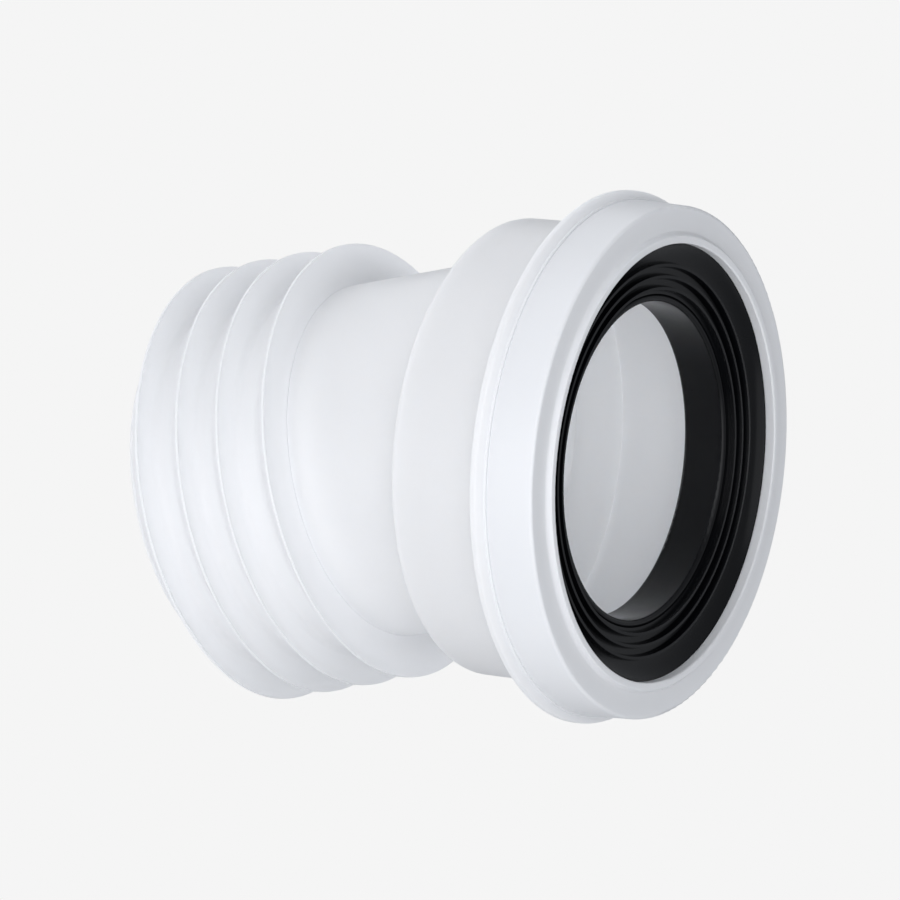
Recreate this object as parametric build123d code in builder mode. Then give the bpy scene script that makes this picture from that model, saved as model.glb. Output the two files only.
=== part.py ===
import os
from math import cos, radians, sin, tan

from build123d import *

os.makedirs("parts", exist_ok=True)

# Angled connector between a toilet pan and a soil pipe.
# Sizes are in millimetres. The socket lies along X and opens towards +X.
# The spigot leaves the back of the socket and dips below X by the bend angle.
# x = 0 is the front end of the pan seal's round bore, on the socket's axis.

# Body: the socket's head
wall = 3.2
head_radius = 59.4  # at the back of the socket
head_draft = 1.0  # degrees, the socket widens towards its mouth
head_edge_radius = 2.5
chamber_depth = 37.9  # from the seal's bore back to the corner where the shoulder starts
shoulder_slope = 26  # degrees, from a flat back

# Body: the flange and the lip that carries the cap
flange_rear = -11.1
flange_crest = 1.7  # width of the flange's top
flange_overhang = 2.2  # the top stands out past the cap
flange_slope = 47  # degrees from the axis, down to a narrow step beside the cap
flange_edge_radius = 0.4
flange_brow_radius = 0.8  # between the top and the slope
step_width = 0.5
step_height = 0.55  # the step stands out past the cap
step_rounding = 0.25
lip_step = 3.65  # the lip's bore is this much wider than the socket's
lip_front = 0.9
snap_height = 0.45
snap_length = 2.0
snap_place = -3.4

# Body: the spigot, measured from the point where its axis crosses the socket's axis
bend_angle = 14
crossing_setback = 10.2  # from the chamber's corner back to the crossing
tube_radius = 46.2
nose_end = 79.1
nose_edge_radius = 1.2
seat_depth = 1.0  # recess that the finned seal sits in
junction_radius = 2.0

# Finned seal
first_fin = 29.7  # tip of the fin nearest the socket, from the crossing
first_gap = 14.3
fin_pitch = 12.5
fin_root = 2.75  # wall between the fins
fin_height = 9.0
fin_land = 0.7
fin_ramp = 53  # degrees, from the spigot's axis
fin_hollow = 0.155  # the face towards the socket is hollow by this share of the fin's height
root_fillet = 2.4
ramp_fillet = 3.0
end_rounding = 0.8

# Pan seal
seal_bore = 41.3
seal_length = 11.1  # from the start of the bore to the sleeve's rear edge
sleeve_wall = 2.0
clamp_thickness = 3.5
band_width = 4.45  # hollow band between the cap's bore and the ribs
band_hollow = 0.5
web_front = 1.8
web_dip = 1.1  # the web falls this far between its outer edge and the inner sleeve
web_rear = -1.3
web_fillet = 1.2
rib_count = 3
rib_height = 1.6

# Retaining cap
skirt_wall = 3.2  # at the flange
skirt_draft = 1.6  # degrees, the skirt narrows towards its front
front_wall = 1.35
ring_width = 10.05  # from the skirt's outside at the flange to the cap's bore
collar_height = 1.6
collar_width = 1.95
collar_foot = 2.4  # the collar's outer flank slopes out to this width
collar_rounding = 0.4
corner_rounding = 0.9
cap_rounding = 0.9
bore_chamfer = 0.3
parting_chamfer = 0.15

# Clearances
seat_play = 0.1  # ends of the finned seal in its recess
stretch_play = 0.05  # finned seal on the spigot
cap_play = 0.2  # cap on the lip
plug_play = 0.3  # pan seal in the lip
rim_play = 0.3  # pan seal in the cap

# The socket's wall and shoulder keep one thickness, so the outside is set back from the inside
draft = tan(radians(head_draft))
slope = tan(radians(shoulder_slope))
crest_front = flange_rear + flange_crest
slope_foot = crest_front + (flange_overhang - step_height) / tan(radians(flange_slope))
flange_front = slope_foot + step_width
head_bore = head_radius - wall
head_rear = -chamber_depth - wall / cos(radians(shoulder_slope)) + wall * slope
mouth_radius = head_radius + (flange_rear - head_rear) * draft
mouth_bore = head_bore + (flange_front + chamber_depth) * draft

# Lip, cap and flange, from the inside out
lip_bore = mouth_bore + lip_step
lip_radius = lip_bore + wall
skirt_bore = lip_radius + cap_play
skirt_radius = skirt_bore + skirt_wall
flange_radius = skirt_radius + flange_overhang
step_radius = skirt_radius + step_height
cap_bore = skirt_radius - ring_width
cap_inner = lip_front + clamp_thickness
cap_front = cap_inner + front_wall
collar_top = cap_front + collar_height
cap_radius = skirt_radius - (cap_front - flange_front) * tan(radians(skirt_draft))

# Pan seal: a sleeve that is round at both ends, and ribs spread over the web
plug_radius = lip_bore - plug_play
clamp_radius = skirt_bore - rim_play
sleeve_radius = seal_bore + sleeve_wall
rim_round = sleeve_wall / 2
rim_middle = seal_bore + rim_round
sleeve_rear = rim_round - seal_length
web_outer = cap_bore - band_width
rib_pitch = (web_outer - sleeve_radius) / rib_count
rib_foot = rib_pitch / 2
rib_top = rib_pitch / 4
rib_base = rib_foot + (rib_foot - rib_top) * web_dip / rib_height  # the flanks run on into the web

# Spigot and its seat
tube_bore = tube_radius - wall
seat_radius = tube_radius - seat_depth
fin_bore = seat_radius + stretch_play
collar_radius = tube_radius + stretch_play
root_radius = fin_bore + fin_root
fin_radius = root_radius + fin_height

# Frame of the spigot: local x runs from the crossing to the nose, local y is the radius
bend = radians(bend_angle)
crossing = (-chamber_depth - crossing_setback, 0, 0)
spigot_direction = (-cos(bend), 0, -sin(bend))
spigot_plane = Plane(origin=crossing, x_dir=spigot_direction, z_dir=(0, 1, 0))
spigot_axis = Axis(crossing, spigot_direction)
spigot_back = crossing_setback + tube_radius * tan(bend)  # runs back into the socket

# Fins, counted from the nose to the socket
second_fin = first_fin + first_gap
fin_places = [second_fin + 2 * fin_pitch, second_fin + fin_pitch, second_fin, first_fin]
ramp_length = fin_height / tan(radians(fin_ramp))
ramp_feet = [place + fin_land + ramp_length for place in fin_places]
seat_start = first_fin - seat_play
seat_end = ramp_feet[0] + seat_play


def corner(section, along, radius):
    return section.vertices().sort_by_distance((along, radius))[0]


# Body: head, shoulder and spigot are one moulding
with BuildPart() as connector_body:
    with BuildSketch(Plane.XY) as head_section:
        with BuildLine():
            Polyline(
                (lip_front, 0),
                (lip_front, lip_radius),
                (snap_place + snap_length / 2, lip_radius),
                (snap_place, lip_radius + snap_height),
                (snap_place - snap_length / 2, lip_radius),
                (flange_front, lip_radius),
                (flange_front, step_radius),
                (slope_foot, step_radius),
                (crest_front, flange_radius),
                (flange_rear, flange_radius),
                (flange_rear, mouth_radius),
                (head_rear, head_radius),
                (head_rear - head_radius * slope, 0),
                close=True,
            )
        make_face()
        fillet(corner(head_section, flange_front, step_radius), step_rounding)
        fillet(corner(head_section, slope_foot, step_radius), step_rounding)
        fillet(corner(head_section, crest_front, flange_radius), flange_brow_radius)
        fillet(corner(head_section, flange_rear, flange_radius), flange_edge_radius)
        fillet(corner(head_section, head_rear, head_radius), head_edge_radius)
    revolve(axis=Axis.X)

    with BuildSketch(spigot_plane):
        with BuildLine():
            Polyline(
                (-spigot_back, 0),
                (-spigot_back, tube_radius),
                (seat_start, tube_radius),
                (seat_start, seat_radius),
                (seat_end, seat_radius),
                (seat_end, tube_radius),
                (nose_end, tube_radius),
                (nose_end, 0),
                close=True,
            )
        make_face()
    revolve(axis=spigot_axis)
    rims = connector_body.edges().filter_by(GeomType.CIRCLE)
    fillet(rims.sort_by(Axis.X)[0], nose_edge_radius)
    fillet(connector_body.edges().filter_by(GeomType.BSPLINE), junction_radius)

    # Chamber behind the pan seal, with a wider pocket inside the lip
    with BuildSketch(Plane.XY):
        with BuildLine():
            Polyline(
                (lip_front, 0),
                (lip_front, lip_bore),
                (flange_front, lip_bore),
                (flange_front, mouth_bore),
                (-chamber_depth, head_bore),
                (-chamber_depth - head_bore * slope, 0),
                close=True,
            )
        make_face()
    revolve(axis=Axis.X, mode=Mode.SUBTRACT)

    # Waterway down the spigot
    with BuildSketch(spigot_plane):
        with BuildLine():
            Polyline(
                (-spigot_back, 0),
                (-spigot_back, tube_bore),
                (nose_end, tube_bore),
                (nose_end, 0),
                close=True,
            )
        make_face()
    revolve(axis=spigot_axis, mode=Mode.SUBTRACT)
connector_body.part.label = "connector_body"
export_step(connector_body.part, "parts/connector_body.step")


# Finned seal: each fin has a hollow face towards the socket and a ramp towards the nose
with BuildPart() as finned_seal:
    with BuildSketch(spigot_plane) as fin_section:
        with BuildLine():
            Polyline(
                (first_fin, collar_radius),
                (first_fin, fin_bore),
                (ramp_feet[0], fin_bore),
                (ramp_feet[0], root_radius),
            )
            for place, foot in zip(fin_places, ramp_feet):
                Line((foot, root_radius), (place + fin_land, fin_radius))
                Line((place + fin_land, fin_radius), (place, fin_radius))
            for place, next_foot in zip(fin_places, ramp_feet[1:]):
                SagittaArc((place, fin_radius), (place, root_radius), fin_hollow * fin_height)
                Line((place, root_radius), (next_foot, root_radius))
            SagittaArc((first_fin, fin_radius), (first_fin, collar_radius), fin_hollow * fin_height)
        make_face()
        for place in fin_places[:-1]:
            fillet(corner(fin_section, place, root_radius), root_fillet)
        for foot in ramp_feet[1:]:
            fillet(corner(fin_section, foot, root_radius), ramp_fillet)
        fillet(corner(fin_section, ramp_feet[0], root_radius), end_rounding)
    revolve(axis=spigot_axis)
finned_seal.part.label = "finned_seal"
export_step(finned_seal.part, "parts/finned_seal.step")


# Pan seal: a clamped rim, a ribbed web and an inner sleeve that grips the pan's outlet
with BuildPart() as pan_seal:
    with BuildSketch(Plane.XY) as seal_section:
        with BuildLine():
            SagittaArc((web_front, web_outer), (cap_inner, cap_bore), band_hollow)
            Polyline(
                (cap_inner, cap_bore),
                (cap_inner, clamp_radius),
                (lip_front, clamp_radius),
                (lip_front, plug_radius),
                (web_rear, plug_radius),
                (web_rear, sleeve_radius),
                (sleeve_rear, sleeve_radius),
            )
            ThreePointArc((sleeve_rear, sleeve_radius), (-seal_length, rim_middle), (sleeve_rear, seal_bore))
            Line((sleeve_rear, seal_bore), (0, seal_bore))
            ThreePointArc((0, seal_bore), (rim_round, rim_middle), (0, sleeve_radius))
            Polyline((0, sleeve_radius), (web_front - web_dip, sleeve_radius), (web_front, web_outer))
        make_face()
        fillet(corner(seal_section, web_rear, sleeve_radius), web_fillet)
        for count in range(rib_count):
            rise = (count + 0.5) * rib_pitch
            middle = sleeve_radius + rise
            foot = web_front - web_dip + web_dip * rise / (web_outer - sleeve_radius)
            with BuildLine():
                Polyline(
                    (foot - web_dip, middle - rib_base / 2),
                    (foot + rib_height, middle - rib_top / 2),
                    (foot + rib_height, middle + rib_top / 2),
                    (foot - web_dip, middle + rib_base / 2),
                    close=True,
                )
            make_face()
    revolve(axis=Axis.X)
pan_seal.part.label = "pan_seal"
export_step(pan_seal.part, "parts/pan_seal.step")


# Retaining cap: a skirt round the lip and a front ring with a raised collar
with BuildPart() as retaining_cap:
    with BuildSketch(Plane.XY) as cap_section:
        with BuildLine():
            Polyline(
                (cap_inner, cap_bore),
                (collar_top, cap_bore),
                (collar_top, cap_bore + collar_width),
                (cap_front, cap_bore + collar_foot),
                (cap_front, cap_radius),
                (flange_front, skirt_radius),
                (flange_front, skirt_bore),
                (snap_place - snap_length / 2, skirt_bore),
                (snap_place, skirt_bore + snap_height),
                (snap_place + snap_length / 2, skirt_bore),
                (cap_inner, skirt_bore),
                close=True,
            )
        make_face()
        fillet(corner(cap_section, collar_top, cap_bore), collar_rounding)
        fillet(corner(cap_section, collar_top, cap_bore + collar_width), collar_rounding)
        fillet(corner(cap_section, cap_front, cap_bore + collar_foot), corner_rounding)
        fillet(corner(cap_section, cap_front, cap_radius), cap_rounding)
        chamfer(corner(cap_section, cap_inner, cap_bore), bore_chamfer)
        chamfer(corner(cap_section, flange_front, skirt_radius), parting_chamfer)
    revolve(axis=Axis.X)
retaining_cap.part.label = "retaining_cap"
export_step(retaining_cap.part, "parts/retaining_cap.step")
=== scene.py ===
import math

import bpy
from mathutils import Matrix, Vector


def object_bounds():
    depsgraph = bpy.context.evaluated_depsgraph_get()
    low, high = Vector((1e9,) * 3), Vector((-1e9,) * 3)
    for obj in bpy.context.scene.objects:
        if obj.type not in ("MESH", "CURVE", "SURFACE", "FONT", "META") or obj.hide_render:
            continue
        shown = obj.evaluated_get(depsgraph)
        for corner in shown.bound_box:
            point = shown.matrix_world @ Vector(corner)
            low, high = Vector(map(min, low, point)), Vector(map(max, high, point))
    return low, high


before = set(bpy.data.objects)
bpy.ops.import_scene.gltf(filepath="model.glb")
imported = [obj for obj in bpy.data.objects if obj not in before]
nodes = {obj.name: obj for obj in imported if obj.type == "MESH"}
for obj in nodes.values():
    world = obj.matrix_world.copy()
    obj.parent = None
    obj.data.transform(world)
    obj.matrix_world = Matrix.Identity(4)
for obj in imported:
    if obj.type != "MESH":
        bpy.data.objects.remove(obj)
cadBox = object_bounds()
bpy.ops.object.select_all(action="DESELECT")
print("frame loaded:", ", ".join(sorted(nodes)))


# a socket that does maths in plain Python, and makes any other node
class Wire:
    def __init__(self, tree, socket=None):
        self.tree = tree
        self.socket = socket

    def node(self, kind, settings, sockets, output=0):
        made = self.tree.nodes.new(kind)
        for name, value in settings.items():
            setattr(made, name, value)
        for name, value in sockets.items():
            if isinstance(value, Wire):
                self.tree.links.new(value.socket, made.inputs[name])
            else:
                made.inputs[name].default_value = value
        return Wire(self.tree, made.outputs[output] if made.outputs else None)

    def maths(self, operation, first, second):
        return self.node("ShaderNodeMath", {"operation": operation}, {0: first, 1: second})

    def __add__(self, other):
        return self.maths("ADD", self, other)

    def __radd__(self, other):
        return self.maths("ADD", other, self)

    def __sub__(self, other):
        return self.maths("SUBTRACT", self, other)

    def __rsub__(self, other):
        return self.maths("SUBTRACT", other, self)

    def __mul__(self, other):
        return self.maths("MULTIPLY", self, other)

    def __rmul__(self, other):
        return self.maths("MULTIPLY", other, self)

    def __pow__(self, other):
        return self.maths("POWER", self, other)

    def __rpow__(self, other):
        return self.maths("POWER", other, self)


def newMaterial(name):
    material = bpy.data.materials.new(name)
    material.use_nodes = True
    material.node_tree.nodes.clear()
    return material, Wire(material.node_tree)


noiseMiddle = 0.5  # a noise swings about this
noiseRoughness = 0.55


def noise(wire, place, scale, detail):
    sockets = {"Vector": place, "Scale": scale, "Detail": detail, "Roughness": noiseRoughness}
    return wire.node("ShaderNodeTexNoise", {"noise_dimensions": "3D"}, sockets)


def mixColour(wire, factor, first, second):
    sockets = {0: factor, 6: first, 7: second}  # the colour sockets share their names with others
    return wire.node("ShaderNodeMix", {"data_type": "RGBA"}, sockets, 2)


# share of the glow: none at a ring where two pieces meet, or a dark line would show there
def glowShare(wire, place, ring):
    x, y, z = (wire.node("ShaderNodeSeparateXYZ", {}, {"Vector": place}, axis) for axis in "XYZ")
    dip = math.radians(ring["dip"])
    ahead = x + ring["setback"]
    along = -math.cos(dip) * ahead - math.sin(dip) * z - ring["along"]
    below = math.sin(dip) * ahead - math.cos(dip) * z
    outside = (y * y + below * below) ** 0.5 - ring["radius"]
    apart = (along * along + outside * outside) ** 0.5
    sockets = {"Value": apart, "From Min": 0.0, "From Max": ring["fade"]}
    return wire.node("ShaderNodeMapRange", {"interpolation_type": "SMOOTHSTEP"}, sockets)


# one satin or matt finish: clouds in the colour, a moulded grain in the gloss and the surface
def mouldedFinish(name, look):
    material, wire = newMaterial(name)
    place = wire.node("ShaderNodeTexCoord", {}, {}, "Object")
    cloud = noise(wire, place, look["cloudScale"], look["cloudDetail"])
    grain = noise(wire, place, look["grainScale"], look["grainDetail"])
    cloudSwing = (cloud - noiseMiddle) * look["cloudRoughness"]
    grainSwing = (grain - noiseMiddle) * look["grainRoughness"]
    grainHeight = {"Height": grain, "Strength": look["grainStrength"], "Distance": look["grainDepth"]}
    skin = {
        "Base Color": mixColour(wire, cloud, look["deepColour"], look["paleColour"]),
        "Roughness": look["roughness"] + cloudSwing + grainSwing,
        "Normal": wire.node("ShaderNodeBump", {}, grainHeight),
        "IOR": look["ior"],
        "Specular IOR Level": look["specular"],
    }
    glow = {
        "Subsurface Weight": look["glow"],
        "Subsurface Scale": look["glowDepth"],
        "Subsurface Radius": look["glowSpread"],
    }
    shader = wire.node("ShaderNodeBsdfPrincipled", {}, {**skin, **glow})
    for ring in look["seams"]:
        plain = wire.node("ShaderNodeBsdfPrincipled", {}, skin)
        share = glowShare(wire, place, ring)
        shader = wire.node("ShaderNodeMixShader", {}, {0: share, 1: plain, 2: shader})
    wire.node("ShaderNodeOutputMaterial", {}, {"Surface": shader})
    return material


def dress(nodeName, finishName, look):
    material = mouldedFinish(finishName, look)
    for slot in nodes[nodeName].material_slots:
        slot.material = material


sealEnd = {  # the ring where the finned seal's end meets the spigot
    "setback": 0.0481,  # from the origin back to where the spigot's axis crosses the socket's
    "dip": 14.0,
    "along": 0.02965,  # from that crossing down the spigot
    "radius": 0.0463,
    "fade": 0.003,
}
capEnd = {  # the ring where the cap's rear edge meets the flange
    "setback": 0.0,
    "dip": 0.0,
    "along": 0.0074,
    "radius": 0.0671,
    "fade": 0.003,
}

whiteMoulding = {
    "deepColour": (0.912, 0.917, 0.928, 1),
    "paleColour": (0.942, 0.945, 0.954, 1),
    "cloudScale": 28.0,
    "cloudDetail": 3.0,
    "grainScale": 2400.0,
    "grainDetail": 2.0,
    "roughness": 0.36,
    "cloudRoughness": 0.08,
    "grainRoughness": 0.10,
    "grainStrength": 0.10,
    "grainDepth": 0.00004,
    "ior": 1.49,
    "specular": 0.5,
    "glow": 0.95,  # light that travels inside the plastic
    "glowDepth": 0.0075,
    "glowSpread": (0.94, 0.97, 1.0),
    "seams": [sealEnd, capEnd],
}
dress("connector_body", "whiteMoulding", whiteMoulding)

whiteCap = dict(
    whiteMoulding,
    deepColour=(0.876, 0.882, 0.893, 1),
    paleColour=(0.906, 0.910, 0.919, 1),
    roughness=0.34,
    grainScale=2100.0,
    glow=0.35,
    glowDepth=0.002,
    seams=[capEnd],
)
dress("retaining_cap", "whiteCap", whiteCap)

whiteRubber = dict(
    whiteMoulding,
    deepColour=(0.948, 0.951, 0.957, 1),
    paleColour=(0.970, 0.972, 0.977, 1),
    roughness=0.46,
    grainScale=1700.0,
    grainStrength=0.14,
    glow=0.40,
    glowDepth=0.0055,
    seams=[sealEnd],
)
dress("finned_seal", "whiteRubber", whiteRubber)

blackRubber = dict(
    whiteMoulding,
    deepColour=(0.0010, 0.0012, 0.0018, 1),
    paleColour=(0.0026, 0.0029, 0.0038, 1),
    cloudScale=60.0,
    grainScale=1900.0,
    roughness=0.24,
    grainRoughness=0.12,
    grainStrength=0.18,
    grainDepth=0.00005,
    ior=1.52,
    specular=0.24,
    glow=0.0,  # no light gets into it
    seams=[],
)
dress("pan_seal", "blackRubber", blackRubber)
print("finishes on", len(nodes), "pieces")


# studio: a pale floor well below the part, an even dome and broad soft lamps round it
studio = {
    "floorSize": 24.0,
    "floorDrop": 0.30,
    "floorColour": (1.0, 1.0, 1.0, 1),
    "floorGlow": 0.913,  # lit from below, so no lamp leaves a patch on it
    "domeColour": (0.965, 1.0, 1.06, 1),
    "domeStrength": 0.355,
    "lampDistance": 1.5,
    "lampColour": (0.985, 0.997, 1.03),
}
lamps = {  # name: the way it lies from the part, width, watts, seen in the gloss
    "frontLamp": ((0.205, -0.975, 0.086), 2.4, 16.0, True),
    "rightLamp": ((0.80, -0.60, 0.0), 2.1, 6.8, True),
    "topLamp": ((-0.60, 0.22, 0.77), 2.4, 10.0, True),
    "lowLamp": ((0.0, -0.15, -0.98), 2.1, 3.0, True),
    "leftLamp": ((-1.0, -0.10, -0.15), 2.1, 9.0, True),
    "backLamp": ((-0.45, 0.85, -0.14), 1.0, 11.0, False),  # shines through the far wall
}


def buildFloor(look):
    lowest = cadBox[0][2]
    bpy.ops.mesh.primitive_plane_add(size=look["floorSize"], location=(0, 0, lowest - look["floorDrop"]))
    floor = bpy.context.object
    floor.name = "paleFloor"
    bpy.ops.object.transform_apply(location=True, rotation=True, scale=True)
    material, wire = newMaterial("paleFloor")
    sockets = {"Color": look["floorColour"], "Strength": look["floorGlow"]}
    shader = wire.node("ShaderNodeEmission", {}, sockets)
    wire.node("ShaderNodeOutputMaterial", {}, {"Surface": shader})
    floor.data.materials.append(material)
    floor.visible_diffuse = False  # only the dome and the lamps light the part
    floor.visible_glossy = False
    floor.visible_shadow = False


def buildDome(look):
    world = bpy.data.worlds.new("softDome")
    world.use_nodes = True
    world.node_tree.nodes.clear()
    wire = Wire(world.node_tree)
    sockets = {"Color": look["domeColour"], "Strength": look["domeStrength"]}
    background = wire.node("ShaderNodeBackground", {}, sockets)
    wire.node("ShaderNodeOutputWorld", {}, {"Surface": background})
    bpy.context.scene.world = world
    bpy.context.scene.view_settings.view_transform = "Standard"


def buildLamp(look, name, direction, width, power, glossy):
    toLamp = Vector(direction).normalized()
    centre = (cadBox[0] + cadBox[1]) / 2
    bpy.ops.object.light_add(type="AREA", location=centre + toLamp * look["lampDistance"])
    lamp = bpy.context.object
    lamp.name = name
    lamp.rotation_euler = toLamp.to_track_quat("Z", "Y").to_euler()
    lamp.data.shape = "DISK"
    lamp.data.size = width
    lamp.data.energy = power
    lamp.data.color = look["lampColour"]
    lamp.visible_camera = False
    lamp.visible_glossy = glossy  # the back lamp would leave hot rims


buildFloor(studio)
buildDome(studio)
for name, (direction, width, power, glossy) in lamps.items():
    buildLamp(studio, name, direction, width, power, glossy)
print("studio ready")


# camera: a long lens, looking into the mouth from the right and a little above
cameraSet = {
    "azimuth": 30.38,
    "elevation": 10.61,
    "lens": 800.0,
    "sensor": 36.0,
    "distance": 5.158,
    "farClip": 60.0,
    "mouthPlane": 0.0053,  # x of the plane that the picture is centred from
    "aimRight": -0.05401,
    "aimUp": 0.00324,
}


def buildCamera(look):
    turn = math.radians(look["azimuth"])
    rise = math.radians(look["elevation"])
    back = Vector((math.sin(turn) * math.cos(rise), -math.cos(turn) * math.cos(rise), math.sin(rise)))
    right = Vector((math.cos(turn), math.sin(turn), 0))
    up = back.cross(right)
    aim = Vector((look["mouthPlane"], 0, 0)) + right * look["aimRight"] + up * look["aimUp"]
    bpy.ops.object.camera_add(location=aim + back * look["distance"])
    camera = bpy.context.object
    camera.rotation_euler = back.to_track_quat("Z", "Y").to_euler()
    camera.data.lens = look["lens"]
    camera.data.sensor_width = look["sensor"]
    camera.data.clip_end = look["farClip"]
    bpy.context.scene.camera = camera


buildCamera(cameraSet)
print("camera set")
